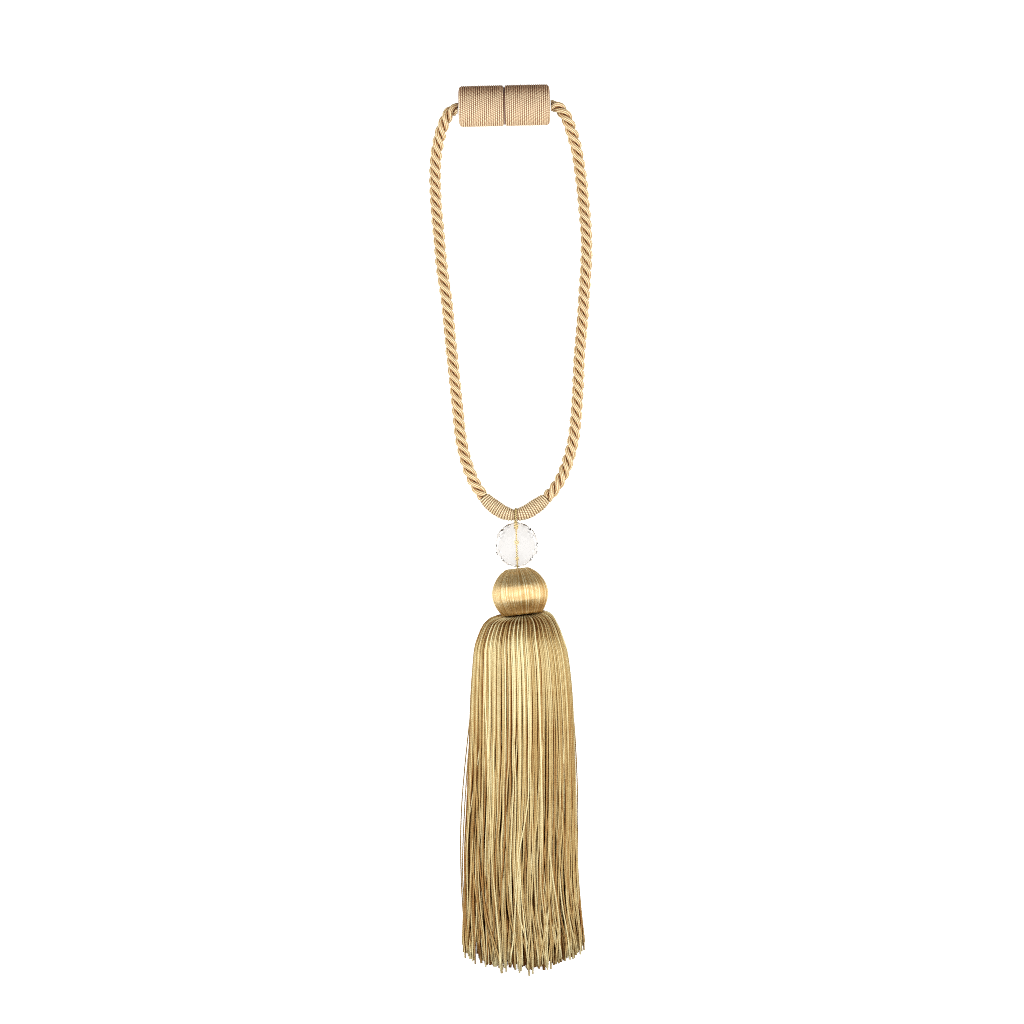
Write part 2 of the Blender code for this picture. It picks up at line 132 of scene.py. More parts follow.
LOOP_ROUTE = (
    (-34.75, 226.4, 10.9), (-36.7, 226.35, 10.9), (-39.1, 224.7, 10.6), (-41.1, 221.5, 10.1),
    (-42.8, 217.5, 9.3), (-44.3, 212.8, 8.1), (-46.2, 204.3, 6.2), (-47.0, 196.1, 4.7),
    (-47.1, 187.0, 3.7), (-46.6, 174.0, 3.4), (-45.2, 159.0, 3.4), (-43.4, 140.0, 3.4),
    (-40.8, 122.0, 3.4), (-38.9, 102.0, 3.4), (-36.8, 82.0, 3.4), (-34.9, 64.0, 3.4),
    (-33.3, 49.0, 4.0), (-31.4, 39.5, 4.9), (-28.9, 31.3, 6.1), (-25.6, 23.6, 7.3),
    (-20.7, 16.4, 8.4), (-15.4, 11.3, 9.3), (-9.3, 7.6, 10.2), (-3.4, 6.5, 10.6),
    (2.4, 8.1, 10.3), (8.0, 11.5, 9.4), (13.0, 15.5, 8.4), (17.6, 20.6, 7.4),
    (22.0, 28.0, 6.3), (25.3, 37.0, 4.9), (27.8, 47.0, 3.9), (29.4, 60.0, 3.4),
    (30.5, 77.0, 3.4), (31.2, 93.0, 3.4), (32.7, 110.0, 3.4), (33.9, 128.0, 3.4),
    (35.0, 146.0, 3.4), (34.9, 160.0, 3.4), (33.7, 174.0, 3.4), (32.4, 187.0, 3.7),
    (31.1, 196.5, 4.6), (29.4, 206.0, 6.1), (26.5, 215.9, 8.1), (24.3, 221.7, 9.4),
    (21.6, 225.6, 10.2), (18.9, 227.9, 10.7), (17.6, 228.25, 10.9), (15.6, 228.2, 10.9),
)

# Binding
BINDING_START = 219.5
BINDING_LENGTH = 39.2
BINDING_RADII = (
    # share of the binding's length, radius
    (0.0, 3.3),
    (0.08, 3.8),
    (0.25, 4.15),
    (0.42, 3.7),
    (0.5, 3.2),
    (0.58, 3.7),
    (0.75, 4.2),
    (0.92, 3.9),
    (1.0, 3.3),
)
BINDING_RIBS = 31
BINDING_RIB_DEPTH = 0.42
BINDING_RIB_STEPS = 8
BINDING_SIDES = 88
BINDING_PLIES = 22
BINDING_PLY_HEIGHT = 0.16
BINDING_PLY_SLANT = 0.5
NOTCH_RADIUS = 2.5
NOTCH_HALF_WIDTH = 0.65
NOTCH_LIGHT = (0.45, 0.55)  # painted shade in the notch: the share of its crown values that is left there, and the rest
NOTCH_LIT = (0.8, 1.8)  # in its half widths

# Hanger cord
CORD_RADIUS = 0.6
CORD_TOP_RADIUS = 1.15  # where its two ends are still twisted together
CORD_TOP_ENDS = (4.5, 6.5)
CORD_PLY_TWIST = 2.4
CORD_SIDES = 10
CORD_SECTION = (0.72, 0.28)  # its waist as a share of the radius, and what a ply adds
# the groove between the cord's plies is painted shade
CORD_CROWN = (0.1, 0.8)
LOOP_CENTRE = np.array((-3.4, 6.5, 10.6))
LOOP_RADIUS = 3.3
LOOP_STEPS = 96
STEM_STATIONS = 120
STEM_ROUTE = (
    (-3.4, 3.4, 10.6), (-3.2, 1.0, 10.8), (-2.9, -9.4, 11.9), (-2.5, -20.5, 13.1), (-2.5, -24.8, 13.9),
)

# Ball
BALL_TOP = np.array((-2.6, -22.3, 14.6))
BALL_BOTTOM = np.array((0.3, -47.4, 15.2))
BALL_PROFILE = (
    # distance below its top end, radius
    (4.4, 1.9), (1.4, 2.1), (0.5, 3.6), (0.1, 5.4), (0.6, 7.0),
    (3.1, 10.4), (6.3, 12.9), (9.6, 14.5), (13.2, 15.2), (16.8, 14.9),
    (20.4, 13.6), (23.3, 12.0), (25.0, 10.6), (25.2, 9.2),
)
BALL_THREADS = 170
BALL_THREAD_STEPS = 4
BALL_THREAD_DEPTH = 0.12
BALL_FULL_THREADS = 12.0  # the radius from which the threads stand out by all of that
BALL_LEAST_DEPTH = 0.2  # the share of it that is left at the ends
BALL_THREAD_SUNK = 0.1  # some threads lie up to this much deeper
BALL_ROWS = 56
# the dark between the threads is painted shade
BALL_CROWN = (0.25, 0.55)
BALL_HOLE_LIT = (1.5, 4.5)  # radii over which the painted shade in the holes at the ball's ends gives way
BALL_THREAD_TONE = 0.16
BALL_PAINTED_REFLECTION = 0.22  # painted reflection of the golden skirt: the low part is this much deeper in tone
BALL_PAINTED_REFLECTION_BELOW = (17.0, 22.0)

# Skirt
SKIRT_MIDDLE_X = -0.5
NECK_Y = -46.6
SKIRT_SECTIONS = (
    # drop below the neck, left and right half widths, top, lift, flat share of a half width
    (0.0, 12.9, 12.9, 22.0, 2.2, 0.05),
    (1.3, 16.4, 16.2, 23.3, 0.9, 0.2),
    (3.5, 18.9, 18.5, 25.0, 0.2, 0.38),
    (6.0, 20.6, 20.1, 26.7, 0.0, 0.5),
    (13.0, 23.8, 22.9, 29.2, 0.0, 0.6),
    (19.5, 25.5, 24.9, 30.0, 0.0, 0.62),
    (26.0, 26.1, 26.0, 30.0, 0.0, 0.62),
    (39.0, 27.1, 27.5, 29.6, 0.0, 0.62),
    (71.5, 28.4, 29.2, 28.4, 0.0, 0.62),
    (104.0, 29.8, 30.2, 27.3, 0.0, 0.62),
    (136.5, 31.2, 30.5, 26.0, 0.0, 0.62),
    (162.5, 30.9, 31.2, 24.6, 0.0, 0.62),
    (175.5, 30.4, 31.9, 23.8, 0.0, 0.62),
    (195.0, 30.0, 32.4, 22.6, 0.0, 0.62),
)
WIDEST_AT = 0.42  # the share of a section's height at which it is widest
NECK_LEAN = 2.8  # the neck's top lies this much lower than its sides, behind the ball's rim
NECK_TILT = 0.1
NECK_FADE_DROP = 6.0  # both fade out by this drop
OUTLINE_STEPS = 16
SEAT_SHARE = 0.86  # the dish under the ball, as a share of the neck's width
SEAT_DROP = 26.1  # below the ball's top end
TIP_DROP = 191.5
HEM_RISE = 8.0  # the hem is an arc, this much higher at its sides
HEM_HALF_WIDTH = 30.0
HEM_UNEVEN = 3.2
LOCK_HEM_UNEVEN = 1.6
SHORTER_BELOW = 4.0  # the lowest yarns end this much sooner
SHORTER_INSIDE = 1.5
HEM_CORNERS = (22.0, 31.0)  # how far out the yarns start to splay, and where all do
SPLAY = 1.3
SPLAY_UNEVEN = (-0.3, 2.6)
SPLAYS_OUT = (140.0, 200.0)
HEAD_CORE_INSET = 3.2
HEAD_CORE_DROPS = ((0.0, 12.0, 16), (14.0, 34.0, 10))  # first, last and how many
HEAD_CORE_SIDES = 120
# the core is given a groove's dark: painted shade under the yarns
HEAD_CORE_CROWN = 0.2
EVEN_SPACING = 0.25  # this share of the stations' spacing is even, and the rest grows with the drop
SPACING_POWER = 2.1
SKIRT_PERIMETER = 150.0  # about how far it is round the skirt

# a layer's tone: the inner layers are darker, as painted shade
SKIRT_LAYERS = (
    # name, inset from the outline, yarns, radius, stations, sides, looseness, tone
    ("skirt_outer", 0.5, 150, 0.48, 74, 8, 1.0, 0.0),
    ("skirt_second", 1.2, 150, 0.58, 60, 6, 1.1, 0.0),
    ("skirt_third", 2.2, 126, 0.68, 40, 5, 1.2, -0.08),
    ("skirt_inner", 4.0, 96, 0.8, 30, 4, 1.0, -0.15),
    ("skirt_core", 7.2, 64, 0.7, 24, 4, 1.0, -0.3),
    ("skirt_middle", 10.6, 30, 0.8, 20, 4, 0.8, -0.3),
)
YARN_UNEVEN = (-0.2, 0.2)  # how far a yarn is out of its even place, in yarns
RADIUS_UNEVEN = (0.88, 1.1)
TWIST_STARTS = (0.0, 4.0)

# Locks, and how the yarns lie in them. A pair for smooth_step is in drops below the neck.
LOCKS = 50  # the yarns of a layer hang in this many locks
LOCK_UNEVEN = (-0.25, 0.25)
LOCK_PULL = 0.4  # the share of the way to its lock's middle that a yarn is drawn
PULL_UNEVEN = (0.2, 1.4)
LOCK_LETS_GO = 0.7  # the share of that pull that is lost low down
COMES_LOOSE = (12.0, 100.0)
LOWER_PART = (60.0, 190.0)
LEAVES_LOCK = (40.0, 150.0)
KEEPS_TO_LOCK = 0.68  # the share of yarns that stay near their lock, while the others stray
YARN_SLOPE = 0.028  # sideways for a millimetre down, as are the next two
STRAY_SLOPE = 0.08
LOCK_SLOPE = 0.012
YARN_WANDER = 0.16
LOCKS_OPEN = (165.0, 194.0)
LOCK_OPENING = 1.3  # how far a lock's side yarns part at the tips
TIPS_FLICK = (150.0, 194.0)
TIP_FLICK = 2.0
LOCK_HOLLOW = 0.22  # how much deeper a lock's side yarns lie
HOLLOW_LOST = 0.3
SUNK_WANDER = 0.3  # yarns lie unevenly deep, as they come loose and more so lower down
SUNK_LOOSE = 0.3
SUNK_LOWER = 0.9
STRAYS_RAISED = 0.8
WANDER_WAVES = ((240.0, 0.6), (110.0, 0.3), (48.0, 0.12))  # length and height of each
WANDER_STRETCH = (0.8, 1.25)

# The neck, where every third yarn lies on top
NECK_DEPTH = 0.5  # how much deeper the others lie
NECK_UNEVEN = (0.0, 0.2)
NECK_OPENS = (8.0, 26.0)
NECK_SLIMMER = (0.2, 0.4)  # for those on top, and for the others, as in NECK_TONES
NECK_SLIM_ENDS = (2.0, 24.0)
# painted light on the yarns on top, and painted shade on those beneath them
NECK_TONES = (0.2, -0.25)
NECK_TONES_FADE = (4.0, 20.0)

# Where the yarns are packed side by side
PACKED_FROM = (5.0, 20.0)
PACKED_TO = (60.0, 115.0)
PACKED_THICKER = 0.16
LOCK_EDGE = (0.78, 1.0)  # a dark line of painted shade starts this far from its lock's middle, in half widths
LINE_DARK = 0.95
LINE_UNEVEN = (0.2, 1.0)

# The skirt's shades: painted shade and light, and the yarns' own tones
FLANK_CROWN = (0.26, 0.24)  # a yarn's flank, in painted shade, and what being packed adds
TOP_CROWN = 0.8
FACING_LIT = (-0.2, 0.8)
YARN_TONES = (-0.26, 0.22)
# painted shade on a lock's side yarns, which lie deeper
LOCK_SIDE_TONE = 0.1
WANDER_TONE = 0.12
# painted light: the upper part is lighter, as a highlight, and loses it lower down
UPPER_TONE = 0.03
UPPER_TONE_LOST = 0.14
UPPER_TONE_FADES = (26.0, 80.0)
BALL_SHADE = 0.14  # under the ball's rim
BALL_SHADE_STARTS = (1.0, 4.0)
BALL_SHADE_ENDS = (8.0, 20.0)
TIP_TONES = (0.32, -0.05)  # of the outer layer, and of those inside it, whose tips are a little darker: painted shade in the hem's inside
AT_TIPS = (180.0, 191.0)

# Slits where the yarns have parted: x, from this drop, to this drop, half width
SKIRT_SLITS = (
    (12.7, 26.0, 122.0, 0.75),
    (-14.2, 64.0, 92.0, 0.5),
    (-7.2, 78.0, 108.0, 0.5),
    (-3.4, 62.0, 90.0, 0.45),
    (5.9, 66.0, 96.0, 0.45),
    (0.0, 116.0, 140.0, 0.55),
    (7.8, 112.0, 138.0, 0.5),
    (-10.0, 112.0, 132.0, 0.5),
    (10.8, 150.0, 190.0, 0.9),
    (-11.5, 156.0, 184.0, 0.6),
)
SLIT_REACH = 3.2  # how far from a slit its yarns are still pushed aside
SLIT_EASE = 0.4  # the share of its length over which it opens, and over which it closes
SLIT_HEIGHTS = (12.0, 18.0)  # only the yarns above these heights part
SLIT_LOST_INSIDE = 0.35  # for each millimetre that a layer lies further in

# Loose threads beside the skirt: (x, y, height) points of each
LOOSE_THREADS = (
    ((-22.0, -64.0, 12.0), (-26.2, -88.0, 12.0), (-28.9, -110.0, 9.0), (-31.2, -132.0, 4.0),
     (-32.8, -152.0, 1.2), (-33.4, -172.0, 0.5), (-32.9, -195.0, 0.4), (-31.6, -215.0, 0.4),
     (-30.6, -229.0, 0.5)),
    ((-23.0, -76.0, 13.0), (-27.0, -104.0, 13.0), (-29.6, -130.0, 10.0), (-31.4, -158.0, 7.0),
     (-32.3, -185.0, 4.0), (-31.5, -208.0, 2.0), (-31.9, -226.0, 1.0)),
    ((20.0, -60.0, 13.0), (25.2, -82.0, 13.0), (28.0, -104.0, 11.0), (29.6, -128.0, 6.0),
     (30.4, -155.0, 2.0), (30.2, -180.0, 1.0), (31.9, -205.0, 0.6), (34.2, -226.0, 0.5)),
)
LOOSE_RADIUS = 0.3
LOOSE_STATIONS = 70
LOOSE_SIDES = 6
LOOSE_CROWN = 0.5


# ---- shapes


def new_object(name, data):
    made = bpy.data.objects.new(name, data)
    bpy.context.scene.collection.objects.link(made)
    return made


class Shape:
    """Tubes gathered into one mesh, with a UV map of (share of the way round, distance along)."""

    def __init__(self):
        self.points = []
        self.loops = []
        self.sizes = []
        self.uvs = []
        self.values = {}
        self.count = 0

    def add_faces(self, corners, uvs):
        self.loops.append(corners.reshape(-1))
        self.sizes.append(np.full(len(corners), corners.shape[1]))
        self.uvs.append(uvs.reshape(-1, 2))

    def tubes(self, rings, along, closed=False, **values):
        """rings is (tubes, stations, sides, 3), turning from the side to the top, and along is
        (tubes, stations). closed joins each tube's last station to its first. values are numbers
        for each point, in any form that stretches to (tubes, stations, sides)."""
        tubes, stations, sides, _ = rings.shape
        number = self.count + np.arange(tubes * stations * sides).reshape(tubes, stations, sides)
        low = number if closed else number[:, :-1]
        high = np.roll(number, -1, axis=1) if closed else number[:, 1:]
        corners = np.stack((low, high, np.roll(high, -1, axis=2), np.roll(low, -1, axis=2)), axis=-1)
        spans = low.shape[1]
        v_low = along[:, :spans, None]
        v_high = v_low + along[:, 1:2, None] - along[:, 0:1, None] if closed else along[:, 1:, None]
        u = np.broadcast_to(np.arange(sides) / sides, low.shape)
        u_next = u + 1.0 / sides
        v_low = np.broadcast_to(v_low, low.shape)
        v_high = np.broadcast_to(v_high, low.shape)
        uvs = np.stack((u, v_low, u, v_high, u_next, v_high, u_next, v_low), axis=-1)
        self.points.append(rings.reshape(-1, 3))
        self.count += tubes * stations * sides
        self.add_faces(corners.reshape(-1, 4), uvs)
        if not closed:
            self.cap(rings[:, 0], number[:, 0], along[:, 0], False)
            self.cap(rings[:, -1], number[:, -1], along[:, -1], True)
        for name, value in values.items():
            filled = np.broadcast_to(value, (tubes, stations, sides))
            ends = [] if closed else [filled[:, 0].mean(axis=1), filled[:, -1].mean(axis=1)]
            self.values.setdefault(name, []).extend([filled.reshape(-1), *ends])

    def cap(self, ring, number, along, far):
        """A fan over one end of each tube."""
        tubes, sides, _ = ring.shape
        middle = self.count + np.arange(tubes)[:, None].repeat(sides, axis=1)
        after = np.roll(number, -1, axis=1)
        order = (middle, after, number) if far else (middle, number, after)
        corners = np.stack(order, axis=-1)
        uvs = np.zeros((tubes, sides, 3, 2))
        uvs[..., 1] = along[:, None, None]
        self.points.append(ring.mean(axis=1))
        self.count += tubes
        self.add_faces(corners.reshape(-1, 3), uvs)

    def piece(self, name, finish, nodes):
        """The mesh object, dressed and riding in place of its nodes."""
        sizes = np.concatenate(self.sizes)
        loops = np.concatenate(self.loops)
        mesh = bpy.data.meshes.new(name)
        mesh.vertices.add(self.count)
        mesh.vertices.foreach_set("co", (np.concatenate(self.points) * MM).reshape(-1))
        mesh.loops.add(len(loops))
        mesh.loops.foreach_set("vertex_index", loops.astype(np.int32))
        mesh.polygons.add(len(sizes))
        mesh.polygons.foreach_set("loop_start", (np.cumsum(sizes) - sizes).astype(np.int32))
        mesh.update(calc_edges=True)
        mesh.shade_smooth()
        mesh.uv_layers.new(name="yarn").data.foreach_set("uv", np.concatenate(self.uvs).reshape(-1))
        for value_name, lists in self.values.items():
            layer = mesh.attributes.new(value_name, "FLOAT", "POINT")
            layer.data.foreach_set("value", np.concatenate(lists).astype(np.float32))
        mesh.materials.append(finish)
        made = new_object(name, mesh)
        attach(made, "root")
        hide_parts(*nodes)
        return made


def unit(vectors):
    return vectors / np.linalg.norm(vectors, axis=-1, keepdims=True)


def smooth_curve(points):
    """Close places on the smooth curve through a route's points, and the way travelled to each."""
    knots = np.array(points)
    knots = np.vstack((2 * knots[0] - knots[1], knots, 2 * knots[-1] - knots[-2]))
    t = np.arange(CURVE_STEPS)[:, None] / CURVE_STEPS
    spans = []
    for a, b, c, d in zip(knots, knots[1:], knots[2:], knots[3:]):
        line = 2 * b + (c - a) * t
        bend = (2 * a - 5 * b + 4 * c - d) * t**2 + (3 * b - a - 3 * c + d) * t**3
        spans.append((line + bend) / 2)
    fine = np.vstack((*spans, knots[-2]))
    steps = np.linalg.norm(np.diff(fine, axis=0), axis=1)
    return fine, np.concatenate(([0.0], np.cumsum(steps)))


def places_at(curve, distances):
    fine, travelled = curve
    return np.stack([np.interp(distances, travelled, fine[:, i]) for i in range(3)], axis=-1)


def cross_axes(places):
    """The ways sideways and upwards along each route in (..., stations, 3)."""
    ahead = unit(np.gradient(places, axis=-2))
    side = unit(np.cross(ahead, UP))
    return side, np.cross(side, ahead)


def round_places(places, side, up, radius, turn):
    """Rings of points about places. radius and turn stretch to (..., stations, sides)."""
    arm = side[..., None, :] * np.cos(turn)[..., None] + up[..., None, :] * np.sin(turn)[..., None]
    return places[..., None, :] + arm * np.asarray(radius)[..., None]


def even_turns(sides):
    return TURN * np.arange(sides) / sides


def on_surface(points, least=0.0):
    points[..., 2] = np.maximum(points[..., 2], least)
    return points


def smooth_step(low, high, value):
    share = np.clip((value - low) / (high - low), 0.0, 1.0)
    return share * share * (3.0 - 2.0 * share)


def smooth_table(rows, keys):
    """The columns after the first of a table, at values of its first, on smooth curves."""
    table = np.array(rows)
    at, columns = table[:, 0], table[:, 1:]
    slopes = np.gradient(columns, at, axis=0)
    low = np.clip(np.searchsorted(at, keys) - 1, 0, len(at) - 2)
    width = (at[low + 1] - at[low])[:, None]
    t = np.clip((np.asarray(keys)[:, None] - at[low][:, None]) / width, 0.0, 1.0)
    start = (2 * t**3 - 3 * t**2 + 1) * columns[low] + (t**3 - 2 * t**2 + t) * width * slopes[low]
    end = (3 * t**2 - 2 * t**3) * columns[low + 1] + (t**3 - t**2) * width * slopes[low + 1]
    return start + end


def wander(chance, count, drops):
    """A slow random path for each of count yarns, about 1 at its widest."""
    path = np.zeros((count, len(drops)))
    for length, height in WANDER_WAVES:
        phase = chance.uniform(0.0, TURN, (count, 1))
        stretch = chance.uniform(*WANDER_STRETCH, (count, 1))
        path += height * np.sin(TURN * drops / (length * stretch) + phase)
    return path


# ---- materials


def node(tree, kind, inputs=None, **settings):
    """A shader node with its settings, and inputs as numbers or as another node's output."""
    made = tree.nodes.new(kind)
    for key, value in settings.items():
        setattr(made, key, value)
    for key, value in (inputs or {}).items():
        if isinstance(value, bpy.types.NodeSocket):
            tree.links.new(value, made.inputs[key])
        else:
            made.inputs[key].default_value = value
    return made


def math_node(tree, operation, *values):
    inputs = dict(enumerate(values))
    return node(tree, "ShaderNodeMath", inputs, operation=operation).outputs[0]


def grey(bright):
    return (bright, bright, bright, 1.0)


def mix_shaders(tree, factor, off, on):
    return node(tree, "ShaderNodeMixShader", {0: factor, 1: off, 2: on}).outputs["Shader"]


def ramp(tree, factor, stops):
    """A colour ramp from (place, (red, green, blue)) stops."""
    made = node(tree, "ShaderNodeValToRGB", {"Fac": factor})
    elements = made.color_ramp.elements
    while len(elements) < len(stops):
        elements.new(0.5)
    for element, (place, colour) in zip(elements, stops):
        element.position = place
        element.color = (*colour, 1.0)
    return made.outputs["Color"]


def new_material(name):
    made = bpy.data.materials.new(name)
    made.use_nodes = True
    return made, made.node_tree


def yarn_material(name, colours, ply, fibre, shine, brushed=0.0):
    """Twisted yarn. colours run from the grooves, whose dark is painted shade, to the crowns over the
    points' own 'crown' value, and each yarn has its own 'tone'. ply is (plies round, pitch along, bump
    height, change of colour) of the twist, where the change of colour is painted shade in the twist's
    grooves; fibre is (cells round, cells along a millimetre, strength) of the streaks, and shine is
    (roughness, metallic, IOR, the highlight's tint). brushed spreads highlights round the yarn."""
    made, tree = new_material(name)
    shader = tree.nodes["Principled BSDF"]
    roughness, metallic, ior, tint = shine
    shader.inputs["Roughness"].default_value = roughness
    shader.inputs["Metallic"].default_value = metallic
    shader.inputs["IOR"].default_value = ior
    shader.inputs["Specular Tint"].default_value = (*tint, 1.0)
    if brushed:
        shader.inputs["Anisotropic"].default_value = brushed
        across = node(tree, "ShaderNodeTangent", direction_type="UV_MAP", uv_map="yarn")
        tree.links.new(across.outputs["Tangent"], shader.inputs["Tangent"])

    uv = node(tree, "ShaderNodeUVMap", uv_map="yarn").outputs["UV"]
    crown = node(tree, "ShaderNodeAttribute", attribute_name="crown").outputs["Fac"]
    tone = node(tree, "ShaderNodeAttribute", attribute_name="tone").outputs["Fac"]

    cells_round, cells_along, streak = fibre
    stretched = node(tree, "ShaderNodeVectorMath", {0: uv, 1: (cells_round, cells_along, 1.0)},
                     operation="MULTIPLY").outputs["Vector"]
    streaks = node(tree, "ShaderNodeTexNoise", {"Vector": stretched, "Scale": 1.0, "Detail": 2.0})
    streaks = streaks.outputs["Fac"]

    plies, pitch, bump_height, twist = ply
    slant = node(tree, "ShaderNodeVectorMath",
                 {0: uv, 1: (TURN * plies, TURN / pitch, 0.0)},
                 operation="DOT_PRODUCT").outputs["Value"]
    wave = math_node(tree, "MULTIPLY_ADD", math_node(tree, "SINE", slant), 0.5, 0.5)

    # the ramp's place: the point's crown value, pulled down as painted shade in the twist's grooves, and
    # by streaks
    place = math_node(tree, "MULTIPLY_ADD", wave, twist, crown)
    place = math_node(tree, "MULTIPLY_ADD", streaks, streak, place)
    place = math_node(tree, "SUBTRACT", place, (twist + streak) / 2)
    place = math_node(tree, "ADD", place, tone)
    colour = ramp(tree, place, colours)
    tree.links.new(colour, shader.inputs["Base Color"])

    height = math_node(tree, "MULTIPLY_ADD", streaks, STREAK_HEIGHT, wave)
    bump = node(tree, "ShaderNodeBump", {"Height": height, "Strength": 1.0,
                                         "Distance": bump_height * MM})
    tree.links.new(bump.outputs["Normal"], shader.inputs["Normal"])
    return made


def clasp_finish():
    colours = ((0.0, (0.1, 0.03, 0.015)), (0.3, (0.27, 0.13, 0.07)), (0.6, (0.5, 0.36, 0.22)),
               (1.0, (0.88, 0.79, 0.55)))
    return yarn_material("clasp_yarn", colours, ply=(66.0, 3.0, 0.02, 0.0), fibre=(264.0, 3.0, 0.25),
                         shine=(0.5, 0.0, 1.4, (1.0, 0.95, 0.85)))


def rope_finish():
    colours = ((0.0, (0.05, 0.014, 0.004)), (0.3, (0.3, 0.12, 0.05)), (0.6, (0.55, 0.38, 0.18)),
               (1.0, (0.92, 0.88, 0.58)))
    return yarn_material("rope_yarn", colours, ply=(4.0, 1.3, 0.0, 0.0), fibre=(24.0, 0.25, 0.12),
                         shine=(0.35, 0.0, 1.7, (1.0, 0.97, 0.8)))


def binding_finish():
    colours = ((0.0, (0.05, 0.014, 0.005)), (0.3, (0.22, 0.1, 0.045)), (0.6, (0.48, 0.36, 0.2)),
               (1.0, (0.88, 0.8, 0.53)))
    return yarn_material("binding_thread", colours, ply=(22.0, 2.6, 0.02, 0.0), fibre=(88.0, 2.0, 0.25),
                         shine=(0.42, 0.0, 1.6, (1.0, 0.95, 0.8)))


def hanger_finish():
    colours = ((0.0, (0.05, 0.025, 0.006)), (0.5, (0.3, 0.2, 0.06)), (1.0, (0.78, 0.66, 0.32)))
    return yarn_material("hanger_cord", colours, ply=(1.0, 1.2, 0.03, 0.3), fibre=(10.0, 1.0, 0.3),
                         shine=(0.4, 0.0, 1.7, (1.0, 0.95, 0.7)))


def ball_finish():
    colours = ((0.0, (0.17, 0.041, 0.004)), (0.5, (0.43, 0.24, 0.053)), (1.0, (0.86, 0.82, 0.54)))
    return yarn_material("ball_thread", colours, ply=(170.0, 60.0, 0.0, 0.0), fibre=(170.0, 0.06, 0.4),
                         shine=(0.38, 0.7, 2.2, (1.0, 1.0, 0.8)), brushed=1.0)


def skirt_finish():
    colours = ((0.0, (0.08, 0.018, 0.002)), (0.3, (0.2, 0.085, 0.02)), (0.6, (0.35, 0.245, 0.098)),
               (1.0, (0.6, 0.53, 0.31)))
    return yarn_material("skirt_yarn", colours, ply=(1.0, 1.25, 0.022, 0.1), fibre=(3.0, 0.25, 0.34),
                         shine=(0.4, 0.5, 1.2, (1.0, 0.92, 0.6)))


def bead_finish():
    """Clear glass that lets the light of lamps through."""
    made, tree = new_material("bead_glass")
    shader = tree.nodes["Principled BSDF"]
    shader.inputs["Base Color"].default_value = (0.94, 0.915, 0.885, 1.0)
    shader.inputs["Roughness"].default_value = 0.0
    shader.inputs["IOR"].default_value = 1.25
    shader.inputs["Transmission Weight"].default_value = 1.0
    through = node(tree, "ShaderNodeBsdfTransparent").outputs["BSDF"]
    shadow = node(tree, "ShaderNodeLightPath").outputs["Is Shadow Ray"]
    both = mix_shaders(tree, shadow, shader.outputs["BSDF"], through)
    tree.links.new(both, tree.nodes["Material Output"].inputs["Surface"])
    return made


# ---- camera, light and floor


def camera():
    data = bpy.data.cameras.new("camera")
    data.lens = LENS
    data.sensor_width = SENSOR
    data.clip_end = CLIP_END * MM
    made = new_object("camera", data)
    height = VIEW_ACROSS * LENS / SENSOR + VIEW_HEIGHT
    made.location = [x * MM for x in (*VIEW_MIDDLE, height)]
    bpy.context.scene.camera = made


def soft_light(name, place, size, power, lean=0.0):
    """A rectangular lamp that faces down, or leans over sideways by an angle."""
    data = bpy.data.lights.new(name, "AREA")
    data.shape = "RECTANGLE"
    data.size, data.size_y = (length * MM for length in size)
    data.energy = power
    made = new_object(name, data)
    made.location = [x * MM for x in place]
    made.rotation_euler = (0.0, lean, 0.0)
    made.visible_camera = False


def lights():
    """A soft box above the ball, and a white card at each side."""
    soft_light("soft_box", KEY_PLACE, KEY_SIZE, KEY_POWER)
    x, y, z = CARD_PLACE
    for name, side in (("left_card", -1.0), ("right_card", 1.0)):
        soft_light(name, (side * x, y, z), CARD_SIZE, CARD_POWER, side * math.pi / 2)


def studio():
    """Dim light all round, with a brighter band low down past the tips."""
    world = bpy.data.worlds.new("studio")
    bpy.context.scene.world = world
    world.use_nodes = True
    tree = world.node_tree
    background = tree.nodes["Background"]
    direction = node(tree, "ShaderNodeTexCoord").outputs["Generated"]
    parts = node(tree, "ShaderNodeSeparateXYZ", {0: direction})
    along = math_node(tree, "MULTIPLY", parts.outputs["Y"], -1.0)
    angle = math_node(tree, "ARCTAN2", along, parts.outputs["Z"])
    share = math_node(tree, "MULTIPLY_ADD", angle, 1.0 / math.pi, 0.5)
    stops = [((degrees + 90.0) / 180.0, (bright,) * 3) for degrees, bright in STUDIO_LIGHT]
    light = ramp(tree, share, stops)
    path = node(tree, "ShaderNodeLightPath").outputs
    direct = math_node(tree, "MAXIMUM", path["Is Camera Ray"], path["Is Transmission Ray"])
    seen = node(tree, "ShaderNodeMixRGB", {"Fac": direct, "Color1": light, "Color2": grey(BACKDROP)})
    tree.links.new(seen.outputs["Color"], background.inputs["Color"])
    background.inputs["Strength"].default_value = STUDIO_STRENGTH


def floor_finish():
    """White paint that glows a little to the camera, is dimmer as it lights the object, and is an
    even white through the bead."""
    finish, tree = new_material("floor_paint")
    tree.nodes.remove(tree.nodes["Principled BSDF"])
    plain = node(tree, "ShaderNodeBsdfDiffuse", {"Color": grey(FLOOR_PAINT)})
    glow = node(tree, "ShaderNodeEmission", {"Color": grey(1.0), "Strength": FLOOR_GLOW})
    paint = node(tree, "ShaderNodeAddShader", {0: plain.outputs["BSDF"], 1: glow.outputs["Emission"]})
    bounce = node(tree, "ShaderNodeBsdfDiffuse", {"Color": FLOOR_BOUNCE})
    path = node(tree, "ShaderNodeLightPath").outputs
    outside = mix_shaders(tree, path["Is Camera Ray"], bounce.outputs["BSDF"], paint.outputs["Shader"])
    even = node(tree, "ShaderNodeEmission", {"Strength": STUDIO_STRENGTH * BACKDROP})
    both = mix_shaders(tree, path["Is Transmission Ray"], outside, even.outputs["Emission"])
    tree.links.new(both, tree.nodes["Material Output"].inputs["Surface"])
    return finish


